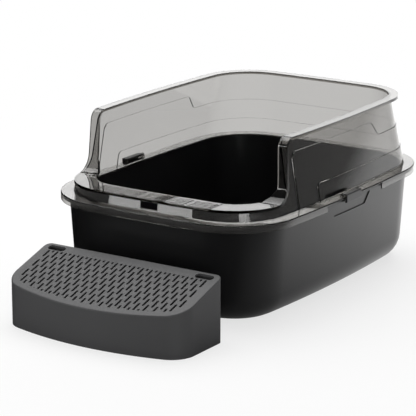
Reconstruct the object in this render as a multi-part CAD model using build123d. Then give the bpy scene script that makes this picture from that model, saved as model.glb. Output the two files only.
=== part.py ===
from build123d import *
from math import radians, tan
import os

# High-sided cat litter box: a deep black tray, a clear smoke shroud that lifts off it with a low
# front entry, two side latches on the shroud, and a separate slotted step in front.
# Millimetres. +Z is up, the entry and the step face -Y, and the origin is the centre of the
# tray's flat underside.

# Plan of the box, as half sizes at the middle of each bowed side
RIM_HALF_X = 228.4
RIM_HALF_Y = 306.0
RIM_CORNER = 118.0
SIDE_BOW = 12.0
END_BOW = 4.8

# Heights above the floor
RIM_Z = 176.0
TOP_Z = 300.0
LEDGE_Z = 195.0

# Shroud wall and top lip
SHROUD_WALL = 2.4
WALL_FOOT_INSET = 21.0
LIP_WIDTH = 15.6
LIP_HALF_X = 200.0
LIP_HALF_Y = 277.4
LIP_CORNER = 96.4
LIP_BEAD_DEPTH = 5.0
LIP_BEAD_THICK = 1.8

# Shroud flange and the skirt that wraps the tray's rim
SKIRT_HEIGHT = 13.0
SKIRT_THICK = 2.2
SKIRT_EDGE_CHAMFER = 1.5
SKIRT_GAP = 0.6
SEAT_GAP = 0.3
SKIRT_CUTOUT = 184.0

# Front entry, as seen from the side
PILLAR_TOP_Y = -174.0
PILLAR_FOOT_Y = -178.0
PILLAR_TOP_RADIUS = 18.0
PILLAR_FOOT_RADIUS = 30.0
PILLAR_INNER_HALF_X = 187.0
PILLAR_WIDE_Z = 215.0
LEDGE_DEPTH = 39.0
LEDGE_INNER_HALF_X = 176.0
LEDGE_INNER_CORNER = 72.0

# Stepped relief on the shroud's sides and back
RELIEF_STEP = 1.5
UPPER_RELIEF_FRONT_Y = -146.0
UPPER_RELIEF_TOP_Z = 271.0
UPPER_RELIEF_DROP_Y = 116.0
UPPER_RELIEF_DROP_RUN = 20.0
UPPER_RELIEF_BACK_Z = 245.0
UPPER_RELIEF_RADIUS = 12.0
LOWER_RELIEF_FRONT_Y = -85.0
LOWER_RELIEF_TOP_Z = 207.0
LOWER_RELIEF_RADIUS = 8.0

# Tread pad on the ledge
PAD_HALF_X = 117.0
PAD_HEIGHT = 0.8
PAD_OVERHANG = 2.5
RIB_GROUPS = 5
RIBS_PER_GROUP = 5
RIB_WIDTH = 3.2
RIB_END_CHAMFER = 1.2
RIB_HEIGHT = 1.1
RIB_GAP = 5.0
RIB_PITCH = 7.0

# Finger slot in the ledge's front face
SLOT_LENGTH = 34.0
SLOT_HEIGHT = 12.0
SLOT_SILL = 1.5

# Tray
TRAY_WALL = 3.0
TRAY_FLOOR = 3.0
TRAY_DRAFT_DEGREES = 3.4
TRAY_WALL_INSET = 14.0
TRAY_BOTTOM_RADIUS = 48.0
TRAY_RIM_THICK = 2.6
TRAY_RIM_LIP_DEPTH = 5.0
TRAY_RIM_LIP_THICK = 2.0
GRIP_TOP_HALF = 70.0
GRIP_BOTTOM_HALF = 52.0
GRIP_TOP_Z = 164.0
GRIP_HEIGHT = 22.0
GRIP_DEPTH = 1.6
GRIP_CENTRE_Y = 8.0

# Side latches, hinged on ears that stand on the shroud's flange
LATCH_LENGTH = 48.0
LATCH_CENTRE_Y = -12.0
LATCH_THICK = 2.4
LATCH_KNUCKLE_RADIUS = 2.5
LATCH_PIN_RADIUS = 1.2
LATCH_PIN_GAP = 0.08
LATCH_AXIS_INSET = 6.0
LATCH_AXIS_RISE = 3.2
LATCH_REACH = 1.0
LATCH_DROP = 9.0
LATCH_TOE = 1.2
EAR_THICK = 3.0
EAR_GAP = 0.4
EAR_RADIUS = 3.4

# Step
STEP_CENTRE_X = 8.0
STEP_HALF_X = 174.0
STEP_BACK_GAP = 34.0
STEP_DEPTH = 144.0
STEP_FRONT_BOW = 29.0
STEP_BACK_Z = 110.0
STEP_SLOPE_DEGREES = 17.4
STEP_WALL = 3.0
STEP_REAR_RADIUS = 12.0
STEP_FRONT_RADIUS = 42.0
STEP_EDGE_CHAMFER = 1.5
STEP_SLOT_LENGTH = 19.8
STEP_SLOT_WIDTH = 4.2
STEP_COLUMN_PITCH = 8.6
STEP_ROW_PITCH = 28.4
STEP_FIELD_MARGIN = 12.0
STEP_HOLE_LENGTH = 34.0
STEP_HOLE_WIDTH = 12.0
STEP_HOLE_INSET_X = 28.0
STEP_HOLE_INSET_Y = 12.0

# A span that clears the whole box, for cutting tools
REACH = 800.0


def outline(half_x, half_y, corner, z):
    """Rounded rectangle with four bowed sides, as a face at height z."""
    end_x = half_x - SIDE_BOW
    end_y = half_y - END_BOW
    edges = [
        ThreePointArc((end_x, -end_y), (half_x, 0), (end_x, end_y)),
        ThreePointArc((end_x, end_y), (0, half_y), (-end_x, end_y)),
        ThreePointArc((-end_x, end_y), (-half_x, 0), (-end_x, -end_y)),
        ThreePointArc((-end_x, -end_y), (0, -half_y), (end_x, -end_y)),
    ]
    face = make_face(edges)
    return Pos(0, 0, z) * fillet(face.vertices(), corner)


def rim_outline(inset, z):
    """The rim's outline, moved inwards by inset."""
    return outline(RIM_HALF_X - inset, RIM_HALF_Y - inset, RIM_CORNER - inset, z)


def lip_outline(inset, z):
    """The top lip's outline, moved inwards by inset."""
    return outline(LIP_HALF_X - inset, LIP_HALF_Y - inset, LIP_CORNER - inset, z)


def rim_ring(outer_inset, inner_inset, low_z, high_z):
    """Upright band that follows the rim's outline between two insets."""
    band = rim_outline(outer_inset, low_z) - rim_outline(inner_inset, low_z)
    return extrude(band, high_z - low_z)


def side_prism(points, rounded=()):
    """Solid right across the box in X, from a profile of (y, z) points and corners to round."""
    profile = make_face(Polyline(*points, close=True))
    for point, radius in rounded:
        profile = fillet(profile.vertices().sort_by_distance((*point, 0))[0], radius)
    return extrude(Plane.YZ * profile, REACH / 2, both=True)


def wall_outline(inset, z):
    """The shroud wall's outline at a height: it leans in evenly from the rim to the lip."""
    share = (z - RIM_Z) / (TOP_Z - RIM_Z)
    foot = (RIM_HALF_X - WALL_FOOT_INSET, RIM_HALF_Y - WALL_FOOT_INSET, RIM_CORNER - WALL_FOOT_INSET)
    lip_inset = LIP_WIDTH - SHROUD_WALL
    head = (LIP_HALF_X - lip_inset, LIP_HALF_Y - lip_inset, LIP_CORNER - lip_inset)
    sizes = [low + share * (high - low) - inset for low, high in zip(foot, head)]
    return outline(*sizes, z)


def wall_solid(inset):
    """Solid inside the shroud wall's outer face, moved inwards by inset."""
    return loft([wall_outline(inset, RIM_Z - SKIRT_THICK), wall_outline(inset, TOP_Z)])


def under_entry(depth):
    """Everything below the line of the lip, the pillars and the ledge, lowered by depth."""
    top_front = (PILLAR_TOP_Y + depth, TOP_Z - depth)
    foot = (PILLAR_FOOT_Y + depth, LEDGE_Z - depth)
    points = [
        (REACH / 2, 0),
        (REACH / 2, TOP_Z - depth),
        top_front,
        foot,
        (-REACH / 2, LEDGE_Z - depth),
        (-REACH / 2, 0),
    ]
    rounded = [(top_front, PILLAR_TOP_RADIUS - depth), (foot, PILLAR_FOOT_RADIUS + depth)]
    return side_prism(points, rounded)


def upper_relief_zone():
    """Side view of the first stepped panel: tall at the sides and lower round the back."""
    front = (UPPER_RELIEF_FRONT_Y, UPPER_RELIEF_TOP_Z)
    drop = (UPPER_RELIEF_DROP_Y, UPPER_RELIEF_TOP_Z)
    foot = (UPPER_RELIEF_DROP_Y + UPPER_RELIEF_DROP_RUN, UPPER_RELIEF_BACK_Z)
    points = [
        (UPPER_RELIEF_FRONT_Y, 0),
        front,
        drop,
        foot,
        (REACH / 2, UPPER_RELIEF_BACK_Z),
        (REACH / 2, 0),
    ]
    return side_prism(points, [(corner, UPPER_RELIEF_RADIUS) for corner in (front, drop, foot)])


def lower_relief_zone():
    """Side view of the second stepped panel, of constant height."""
    front = (LOWER_RELIEF_FRONT_Y, LOWER_RELIEF_TOP_Z)
    points = [
        (LOWER_RELIEF_FRONT_Y, 0),
        front,
        (REACH / 2, LOWER_RELIEF_TOP_Z),
        (REACH / 2, 0),
    ]
    return side_prism(points, [(front, LOWER_RELIEF_RADIUS)])


def shroud_wall():
    """Leaning wall with its two stepped panels, cut down at the front entry."""
    wall = wall_solid(0) - wall_solid(SHROUD_WALL)
    for count, zone in ((1, upper_relief_zone()), (2, lower_relief_zone())):
        out = count * RELIEF_STEP
        panel = wall_solid(-out) - wall_solid(SHROUD_WALL - out)
        wall = (wall - zone) + (panel & zone)
    return wall & under_entry(0)


def band_outer(inset):
    """Solid out to the band's outer edge: the lip at the top and the ledge's front edge below."""
    return loft([wall_outline(inset, RIM_Z), lip_outline(inset, TOP_Z)])


def ledge_inner_outline(inset, z):
    """The ledge's inner edge, round the tray's mouth."""
    half_y = RIM_HALF_Y - WALL_FOOT_INSET - LEDGE_DEPTH
    return outline(LEDGE_INNER_HALF_X - inset, half_y - inset, LEDGE_INNER_CORNER - inset, z)


def band_inner(inset):
    """Solid inside the band's inner edge, which draws in from the lip to the deep ledge."""
    lip = lip_outline(LIP_WIDTH + inset, TOP_Z)
    half_y = LIP_HALF_Y - LIP_WIDTH - inset
    pillar = outline(PILLAR_INNER_HALF_X - inset, half_y, LIP_CORNER - LIP_WIDTH - inset, PILLAR_WIDE_Z)
    ledge = ledge_inner_outline(inset, LEDGE_Z)
    below = ledge_inner_outline(inset, RIM_Z)
    return loft([below, ledge, pillar, lip], ruled=True)


def entry_band():
    """One curved band: the lip round the top, the pillars' fronts and the ledge."""
    sheet = under_entry(0) - under_entry(SHROUD_WALL)
    band = (band_outer(0) & sheet) - band_inner(0)
    deep_sheet = under_entry(0) - under_entry(LIP_BEAD_DEPTH)
    bead = (band_outer(0) - band_outer(LIP_BEAD_THICK)) & deep_sheet
    ledge_box = Pos(0, -REACH / 4, (RIM_Z + LEDGE_Z) / 2) * Box(REACH, REACH / 2, LEDGE_Z - RIM_Z)
    ledge_box = Pos(0, PILLAR_FOOT_Y - PILLAR_FOOT_RADIUS, 0) * ledge_box
    hem = (band_inner(-LIP_BEAD_THICK) - band_inner(0)) & deep_sheet & ledge_box
    return band + bead + hem


def tread_pad():
    """Low pad on the ledge with its groups of narrow-ended ribs."""
    ledge_inset = WALL_FOOT_INSET
    low_z = LEDGE_Z - SHROUD_WALL
    plan = rim_outline(ledge_inset - PAD_OVERHANG, low_z) - ledge_inner_outline(0, low_z)
    pad = extrude(plan, SHROUD_WALL + PAD_HEIGHT)
    pad = pad & Pos(0, -REACH / 4, LEDGE_Z) * Box(2 * PAD_HALF_X, REACH / 2, REACH)
    group_pitch = 2 * PAD_HALF_X / RIB_GROUPS
    rib_plan = chamfer(Rectangle(group_pitch - RIB_GAP, RIB_WIDTH).vertices(), RIB_END_CHAMFER)
    middle_y = -(RIM_HALF_Y - ledge_inset + PAD_OVERHANG - (LEDGE_DEPTH + PAD_OVERHANG) / 2)
    for group in range(RIB_GROUPS):
        x = (group - (RIB_GROUPS - 1) / 2) * group_pitch
        for rib in range(RIBS_PER_GROUP):
            y = middle_y + (rib - (RIBS_PER_GROUP - 1) / 2) * RIB_PITCH
            pad += Pos(x, y, LEDGE_Z + PAD_HEIGHT) * extrude(rib_plan, RIB_HEIGHT)
    return pad


def shroud_flange():
    """Flange that sits on the tray's rim, with a broken edge and a skirt cut out at each side."""
    cap = extrude(rim_outline(0, RIM_Z - SKIRT_HEIGHT), SKIRT_HEIGHT)
    cap = chamfer(cap.faces().sort_by(Axis.Z)[-1].edges(), SKIRT_EDGE_CHAMFER)
    cap -= extrude(rim_outline(SKIRT_THICK, RIM_Z - SKIRT_HEIGHT), SKIRT_HEIGHT - SKIRT_THICK)
    cap -= extrude(rim_outline(WALL_FOOT_INSET + SHROUD_WALL, RIM_Z - SKIRT_HEIGHT), SKIRT_HEIGHT)
    cutout_z = RIM_Z - SKIRT_THICK - SKIRT_HEIGHT / 2
    return cap - Pos(0, 0, cutout_z) * Box(REACH, SKIRT_CUTOUT, SKIRT_HEIGHT)


def latch_axis(side):
    """X and Z of a side latch's hinge axis; side is 1 for the right and -1 for the left."""
    return side * (RIM_HALF_X - LATCH_AXIS_INSET), RIM_Z + LATCH_AXIS_RISE


def along_y(radius, length):
    """Round bar along Y."""
    return Rot(X=90) * Cylinder(radius, length)


def latch_ears(side):
    """Two drilled ears on the flange that carry one latch."""
    axis_x, axis_z = latch_axis(side)
    ears = None
    for end in (-1, 1):
        y = LATCH_CENTRE_Y + end * (LATCH_LENGTH / 2 + EAR_GAP + EAR_THICK / 2)
        post_height = axis_z - RIM_Z + SKIRT_THICK / 2
        post = Pos(axis_x, y, axis_z - post_height / 2) * Box(2 * EAR_RADIUS, EAR_THICK, post_height)
        ear = post + Pos(axis_x, y, axis_z) * along_y(EAR_RADIUS, EAR_THICK)
        ear -= Pos(axis_x, y, axis_z) * along_y(LATCH_PIN_RADIUS + LATCH_PIN_GAP, 2 * EAR_THICK)
        ears = ear if ears is None else ears + ear
    return ears


def make_shroud():
    shroud = shroud_wall() + entry_band() + shroud_flange() + tread_pad()
    slot_z = RIM_Z + SLOT_SILL + SLOT_HEIGHT / 2
    slot_y = -(RIM_HALF_Y - WALL_FOOT_INSET)
    shroud -= Pos(0, slot_y, slot_z) * Box(SLOT_LENGTH, 4 * WALL_FOOT_INSET, SLOT_HEIGHT)
    for side in (-1, 1):
        shroud += latch_ears(side)
    return shroud


def make_latch(side):
    """Latch that swings on its ears and hangs down over the skirt's cut-out."""
    axis_x, axis_z = latch_axis(1)
    inner_x = RIM_HALF_X + LATCH_REACH
    outer_x = inner_x + LATCH_THICK
    top_z = axis_z + LATCH_KNUCKLE_RADIUS
    low_z = RIM_Z - LATCH_DROP
    toe_x = RIM_HALF_X - LATCH_TOE
    profile = make_face(
        Polyline(
            (axis_x, top_z),
            (outer_x, top_z),
            (outer_x, low_z),
            (toe_x, low_z),
            (toe_x, low_z + LATCH_THICK),
            (inner_x, low_z + LATCH_THICK),
            (inner_x, top_z - LATCH_THICK),
            (axis_x, top_z - LATCH_THICK),
            close=True,
        )
    )
    shoulder = profile.vertices().sort_by_distance((outer_x, top_z, 0))[0]
    profile = fillet(shoulder, LATCH_THICK * 0.8)
    profile += Pos(axis_x, axis_z) * Circle(LATCH_KNUCKLE_RADIUS)
    plate = extrude(Plane.XZ * profile, LATCH_LENGTH / 2, both=True)
    pin = Pos(axis_x, 0, axis_z) * along_y(LATCH_PIN_RADIUS, LATCH_LENGTH + 2 * (EAR_GAP + EAR_THICK))
    latch = Pos(0, LATCH_CENTRE_Y, 0) * (plate + pin)
    return latch if side > 0 else mirror(latch, Plane.YZ)


def tray_solid(inset, low_z, corner_radius, top_z):
    """Tapered tub with a round bottom edge, moved inwards by inset."""
    foot_inset = TRAY_WALL_INSET + inset + (RIM_Z - low_z) * tan(radians(TRAY_DRAFT_DEGREES))
    tub = extrude(rim_outline(foot_inset, low_z), top_z - low_z, taper=-TRAY_DRAFT_DEGREES)
    return fillet(tub.faces().sort_by(Axis.Z)[0].edges(), corner_radius)


def make_tray():
    """Deep tub with a rim flange, a turned-down rim lip and a grip recess in each side."""
    top_z = RIM_Z - SKIRT_THICK - SEAT_GAP
    rim_inset = SKIRT_THICK + SKIRT_GAP
    outer = tray_solid(0, 0, TRAY_BOTTOM_RADIUS, top_z)
    grip_skin = outer - tray_solid(GRIP_DEPTH, -GRIP_DEPTH, TRAY_BOTTOM_RADIUS, top_z + GRIP_DEPTH)
    low_z = GRIP_TOP_Z - GRIP_HEIGHT
    grip = side_prism(
        [
            (GRIP_CENTRE_Y - GRIP_TOP_HALF, GRIP_TOP_Z),
            (GRIP_CENTRE_Y + GRIP_TOP_HALF, GRIP_TOP_Z),
            (GRIP_CENTRE_Y + GRIP_BOTTOM_HALF, low_z),
            (GRIP_CENTRE_Y - GRIP_BOTTOM_HALF, low_z),
        ]
    )
    tray = outer - (grip_skin & grip)
    tray += rim_ring(rim_inset, TRAY_WALL_INSET + TRAY_WALL / 2, top_z - TRAY_RIM_THICK, top_z)
    lip_low_z = top_z - TRAY_RIM_LIP_DEPTH
    tray += rim_ring(rim_inset, rim_inset + TRAY_RIM_LIP_THICK, lip_low_z, top_z)
    inner = tray_solid(TRAY_WALL, TRAY_FLOOR, TRAY_BOTTOM_RADIUS - TRAY_WALL, top_z + TRAY_WALL)
    return tray - inner


def step_plan():
    """Plan of the step: straight back, round ends and a bowed front."""
    back_y = -(RIM_HALF_Y + STEP_BACK_GAP)
    front_y = back_y - STEP_DEPTH
    side_front_y = front_y + STEP_FRONT_BOW
    edges = [
        Line((-STEP_HALF_X, back_y), (STEP_HALF_X, back_y)),
        Line((STEP_HALF_X, back_y), (STEP_HALF_X, side_front_y)),
        ThreePointArc((STEP_HALF_X, side_front_y), (0, front_y), (-STEP_HALF_X, side_front_y)),
        Line((-STEP_HALF_X, side_front_y), (-STEP_HALF_X, back_y)),
    ]
    plan = make_face(edges)
    corners = plan.vertices().sort_by(Axis.Y)
    plan = fillet(corners[:2], STEP_FRONT_RADIUS)
    rear = plan.vertices().sort_by(Axis.Y)[-2:]
    return fillet(rear, STEP_REAR_RADIUS)


def step_slots(plan):
    """Brick pattern of slots along Y, trimmed by the border and kept off the corner holes."""
    back_y = -(RIM_HALF_Y + STEP_BACK_GAP)
    slot = Rectangle(STEP_SLOT_WIDTH, STEP_SLOT_LENGTH)
    field = offset(plan, -STEP_FIELD_MARGIN)
    keep_off = STEP_HOLE_INSET_Y + STEP_HOLE_WIDTH / 2 + STEP_EDGE_CHAMFER
    field -= Pos(0, back_y) * Rectangle(2 * STEP_HALF_X, 2 * keep_off)
    columns = int((STEP_HALF_X - STEP_FIELD_MARGIN) / STEP_COLUMN_PITCH)
    rows = int(STEP_DEPTH / STEP_ROW_PITCH) + 2
    smallest = STEP_SLOT_WIDTH * STEP_SLOT_WIDTH
    faces = []
    for column in range(-columns, columns + 1):
        shift = STEP_ROW_PITCH / 2 if column % 2 else 0
        for row in range(rows):
            y = back_y - keep_off - STEP_SLOT_LENGTH / 2 - row * STEP_ROW_PITCH + shift
            piece = (Pos(column * STEP_COLUMN_PITCH, y) * slot) & field
            if piece is not None:
                faces += [face for face in piece.faces() if face.area > smallest]
    return Sketch(faces)


def make_step():
    """Hollow step with a slotted top that slopes down to the front and two corner holes."""
    plan = step_plan()
    back_y = -(RIM_HALF_Y + STEP_BACK_GAP)
    slope = tan(radians(STEP_SLOPE_DEGREES))
    front_drop = REACH / 2 * slope

    def under_slope(depth):
        points = [
            (back_y + REACH / 2, STEP_BACK_Z - depth),
            (back_y, STEP_BACK_Z - depth),
            (back_y - REACH / 2, STEP_BACK_Z - depth - front_drop),
            (back_y - REACH / 2, -REACH),
            (back_y + REACH / 2, -REACH),
        ]
        return side_prism(points)

    step = extrude(plan, STEP_BACK_Z) & under_slope(0)
    step = chamfer(step.faces().sort_by(Axis.Z)[-1].edges(), STEP_EDGE_CHAMFER)
    step -= extrude(offset(plan, -STEP_WALL), STEP_BACK_Z) & under_slope(STEP_WALL)
    holes = Sketch()
    for side in (-1, 1):
        x = side * (STEP_HALF_X - STEP_HOLE_INSET_X)
        holes += Pos(x, back_y - STEP_HOLE_INSET_Y) * SlotOverall(STEP_HOLE_LENGTH, STEP_HOLE_WIDTH)
    step -= extrude(holes, STEP_BACK_Z)
    step -= extrude(step_slots(plan), STEP_BACK_Z)
    return Pos(STEP_CENTRE_X, 0, 0) * step


os.makedirs("parts", exist_ok=True)
export_step(make_tray(), "parts/tray.step")
export_step(make_shroud(), "parts/shroud.step")
export_step(make_latch(-1), "parts/left_latch.step")
export_step(make_latch(1), "parts/right_latch.step")
export_step(make_step(), "parts/step.step")
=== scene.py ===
from math import acos, asin, atan2, cos, pi, radians, sin, sqrt, tan

import bmesh
import bpy
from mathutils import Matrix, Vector


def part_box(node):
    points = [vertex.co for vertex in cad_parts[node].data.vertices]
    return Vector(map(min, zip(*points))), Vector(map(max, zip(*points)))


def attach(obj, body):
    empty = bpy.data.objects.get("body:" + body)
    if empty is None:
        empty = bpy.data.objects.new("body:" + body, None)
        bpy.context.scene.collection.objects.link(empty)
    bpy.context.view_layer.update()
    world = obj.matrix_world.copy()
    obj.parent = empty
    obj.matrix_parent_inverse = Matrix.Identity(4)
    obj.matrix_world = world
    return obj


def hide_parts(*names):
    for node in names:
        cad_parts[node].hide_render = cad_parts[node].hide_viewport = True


bl_info = {
    "name": "High-sided litter box",
    "version": (1, 0, 0),
    "blender": (4, 5, 0),
    "location": "3D View > Sidebar > Litter Box",
    "description": "Builds a high-sided litter box with a clear shroud, latches and a slotted step",
    "category": "Add Mesh",
}

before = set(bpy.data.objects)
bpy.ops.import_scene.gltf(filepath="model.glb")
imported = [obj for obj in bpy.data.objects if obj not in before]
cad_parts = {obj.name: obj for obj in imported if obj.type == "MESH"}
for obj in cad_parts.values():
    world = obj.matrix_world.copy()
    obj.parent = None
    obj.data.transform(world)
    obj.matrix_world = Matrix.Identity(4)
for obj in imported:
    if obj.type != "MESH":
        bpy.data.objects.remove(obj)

MM = 0.001

# Depth of the shroud's skirt in millimetres, which sets where the rim is
SKIRT_HEIGHT = 13

# Overall places from the frame
SHROUD_LOW, SHROUD_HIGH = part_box("shroud")
TRAY_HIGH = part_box("tray")[1]
STEP_LOW, STEP_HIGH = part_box("step")
RIM_HALF_X = SHROUD_HIGH.x
RIM_HALF_Y = SHROUD_HIGH.y
TOP_Z = SHROUD_HIGH.z
RIM_Z = SHROUD_LOW.z + SKIRT_HEIGHT * MM
STEP_MIDDLE_X = (STEP_LOW.x + STEP_HIGH.x) / 2
STEP_HALF_X = (STEP_HIGH.x - STEP_LOW.x) / 2

# Ends of a tool that passes right through the box from side to side
ACROSS = (-300 * MM, 300 * MM)

# Places past the box, for a tool's open sides
PAST_BACK = 400 * MM
PAST_ENTRY = 500 * MM
PAST_STEP = 300 * MM

# Segments in a quarter of a ring: half a side, a corner and half an end
SIDE_STEPS = 12
CORNER_STEPS = 16
END_STEPS = 10

# Segments of a rounded corner, a small round end, an ear, a knuckle and a drilled hole
ARC_STEPS = 8
RIB_END_STEPS = 6
EAR_STEPS = 10
KNUCKLE_STEPS = 16
BORE_STEPS = 24

# Points nearer than this are one point
WELD = 0.001 * MM

# How far a relief panel laps over the wall round it
PANEL_LAP = 0.25 * MM

# Rounds of small moulded edges and corners
TRAY_EDGE = 0.7 * MM
LATCH_EDGE = 0.4 * MM
LATCH_CORNER = 0.8 * MM
GRIP_TOP_ROUND = 2 * MM
GRIP_FOOT_ROUND = 4 * MM
FINGER_SLOT_ROUND = 1.5 * MM

# Clearance round a latch's pin, and the pad's distance inside the mouth
PIN_CLEARANCE = 0.08 * MM
PAD_MOUTH = 0.3 * MM

# Space between the step's corner holes and its slots, and how the roof meets the walls inside
HOLE_MARGIN = 1.5 * MM
ROOF_INSET = 4 * MM
ROOF_DROP = 3 * MM

# Edges that turn less than the first are shaded smooth; a latch's that turn past the second are bevelled
SMOOTH_ANGLE = radians(30)
BEVEL_ANGLE = radians(50)

# Refraction of the plastics, and sockets of a colour Mix node, which have no names of their own
PLASTIC_IOR = 1.49
MIX_FACTOR, MIX_FIRST, MIX_SECOND, MIX_RESULT = 0, 6, 7, 2

# Darkening of light along its way inside the smoke plastic, per metre
SMOKE_DENSITY = 140.0
SMOKE_HUE = (0.05, 0.03, 0.0, 1.0)

# Floor: distances where it turns to plain white, then the way its painted glow grows and the way it fades;
# the glow is painted light that only reflections see, standing in for a lit floor at the back right
WHITE_NEAR, WHITE_FAR = 0.45, 1.3
PAINTED_GLOW_WAY = (0.5, 0.86, 0)
PAINTED_GLOW_START, PAINTED_GLOW_END = -0.22, 0.6
FADE_WAY = (1, -0.35, 0)
FADE_START, FADE_END = 0.45, 0.9
FADED = 0.1

# Sky: heights where it turns from white to the ceiling's tone
CEILING_START, CEILING_END = 0.3, 0.6

# Area lights: name, setting for the power, place, point aimed at, width and height
LIGHTS = [
    ("key", "key_power", (-0.5, 0.6, 2.3), (0, 0, 0.1), 2.8, 2.8),
    ("front strip", "strip_power", (-0.99, -1.79, 0.42), (0, -0.29, 0.19), 0.36, 0.9),
    ("front panel", "front_power", (2.1, -1.85, 0.5), (0.15, -0.26, 0.19), 0.9, 0.7),
    ("back panel", "back_power", (-1.6, 2.4, 0.95), (0, 0, 0.2), 2.4, 0.9),
]

# Camera, fitted to the photograph
CAMERA_PLACE = (1.94529, -3.06840, 1.10929)
CAMERA_AZIMUTH = 33.305
CAMERA_ELEVATION = 15.303
CAMERA_LENS = 186.297
CAMERA_SENSOR = 36.0


def millimetres(name, description, default):
    """A length, with its default in millimetres."""
    return bpy.props.FloatProperty(name=name, description=description, default=default * MM, unit="LENGTH")


def colour(name, description, default):
    """A colour, with its default in linear red, green and blue."""
    return bpy.props.FloatVectorProperty(
        name=name, description=description, default=default, subtype="COLOR"
    )


class RimSizes(bpy.types.PropertyGroup):
    """Plan of the box, shared by the tray and the shroud."""

    corner: millimetres("Rim corner", "Corner radius of the rim", 118)
    side_bow: millimetres("Side bow", "How far each long side bows out", 12)
    end_bow: millimetres("End bow", "How far each end bows out", 4.8)


class TraySizes(bpy.types.PropertyGroup):
    """Sizes of the deep black tray."""

    wall: millimetres("Wall", "Wall and floor thickness", 3)
    draft: bpy.props.FloatProperty(
        name="Draft", description="Lean of the walls", default=radians(3.4), subtype="ANGLE"
    )
    wall_inset: millimetres("Wall inset", "Wall's distance inside the rim", 14)
    bottom_radius: millimetres("Bottom radius", "Round between wall and floor", 48)
    rim_inset: millimetres("Rim inset", "Tray rim's distance inside the skirt's face", 2.8)
    rim_thick: millimetres("Rim thickness", "Thickness of the rim flange", 2.6)
    lip_depth: millimetres("Rim lip depth", "Depth of the turned-down lip", 5)
    lip_thick: millimetres("Rim lip thickness", "Thickness of the lip", 2)
    grip_top: millimetres("Grip top", "Half length of the grip recess at its top", 70)
    grip_bottom: millimetres("Grip bottom", "Half length of the recess at its foot", 52)
    grip_height: millimetres("Grip height", "Height of the grip recess", 22)
    grip_depth: millimetres("Grip depth", "Depth of the grip recess", 1.6)
    grip_drop: millimetres("Grip drop", "Recess top below the rim", 12)
    grip_place: millimetres("Grip place", "Recess centre along the side", 8)


class ShroudSizes(bpy.types.PropertyGroup):
    """Sizes of the clear smoke shroud."""

    wall: millimetres("Wall", "Wall thickness", 2.4)
    foot_inset: millimetres("Foot inset", "Wall's foot inside the rim", 21)
    lip_width: millimetres("Lip width", "Width of the top lip", 15.6)
    lip_half_x: millimetres("Lip half width", "Half width across the lip", 200)
    lip_half_y: millimetres("Lip half length", "Half length across the lip", 277.4)
    lip_corner: millimetres("Lip corner", "Corner radius of the lip", 96.4)
    bead_depth: millimetres("Bead depth", "Depth of the turned-down edge", 5)
    skirt_height: millimetres("Skirt height", "Height of the skirt round the tray's rim", SKIRT_HEIGHT)
    skirt_thick: millimetres("Skirt thickness", "Thickness of flange and skirt", 2.2)
    skirt_round: millimetres("Skirt edge", "Radius of the flange's edge", 1.5)
    skirt_cutout: millimetres("Skirt cut-out", "Length cut out of the skirt at each side", 184)
    pillar_top_y: millimetres("Pillar top", "Where the lip turns down at the entry", -174)
    pillar_foot_y: millimetres("Pillar foot", "Where the pillar meets the ledge", -178)
    pillar_top_radius: millimetres("Pillar top radius", "Round at the pillar's top", 18)
    pillar_foot_radius: millimetres("Pillar foot radius", "Round at the pillar's foot", 30)
    pillar_half_x: millimetres("Pillar inner half", "Half width between the pillars", 187)
    pillar_wide_z: millimetres("Pillar widening", "Height where the band starts to widen", 215)
    ledge_z: millimetres("Ledge height", "Height of the entry ledge", 195)
    ledge_depth: millimetres("Ledge depth", "Depth of the entry ledge", 39)
    ledge_half_x: millimetres("Ledge inner half", "Half width of the mouth at the ledge", 176)
    ledge_corner: millimetres("Ledge inner corner", "Corner radius of the mouth", 72)
    relief_step: millimetres("Relief step", "Step of each relief panel", 1.5)
    upper_front_y: millimetres("Upper panel front", "Front edge of the tall panel", -146)
    upper_top_z: millimetres("Upper panel top", "Top of the tall panel at the sides", 271)
    upper_drop_y: millimetres("Upper panel drop", "Where the panel's top drops", 116)
    upper_drop_run: millimetres("Drop run", "Length of the slanted drop", 20)
    upper_back_z: millimetres("Upper panel back", "Top of the panel round the back", 245)
    upper_radius: millimetres("Upper panel corners", "Corner radius of the tall panel", 12)
    lower_front_y: millimetres("Lower panel front", "Front edge of the low panel", -85)
    lower_top_z: millimetres("Lower panel top", "Top of the low panel", 207)
    lower_radius: millimetres("Lower panel corners", "Corner radius of the low panel", 8)
    pad_half_x: millimetres("Pad half width", "Half width of the tread pad", 117)
    pad_height: millimetres("Pad height", "Height of the pad over the ledge", 0.8)
    pad_overhang: millimetres("Pad overhang", "Pad's reach over the ledge's edge", 2.5)
    rib_groups: bpy.props.IntProperty(
        name="Rib groups", description="Groups of ribs along the pad", default=5
    )
    ribs_per_group: bpy.props.IntProperty(
        name="Ribs in a group", description="Ribs side by side in a group", default=5
    )
    rib_width: millimetres("Rib width", "Width of a rib", 3.2)
    rib_height: millimetres("Rib height", "Height of a rib over the pad", 1.1)
    rib_gap: millimetres("Rib gap", "Gap between groups", 5)
    rib_pitch: millimetres("Rib pitch", "Distance between ribs", 7)
    slot_length: millimetres("Slot length", "Length of the finger slot", 34)
    slot_height: millimetres("Slot height", "Height of the finger slot", 12)
    slot_sill: millimetres("Slot sill", "Slot's height over the flange", 1.5)


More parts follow.
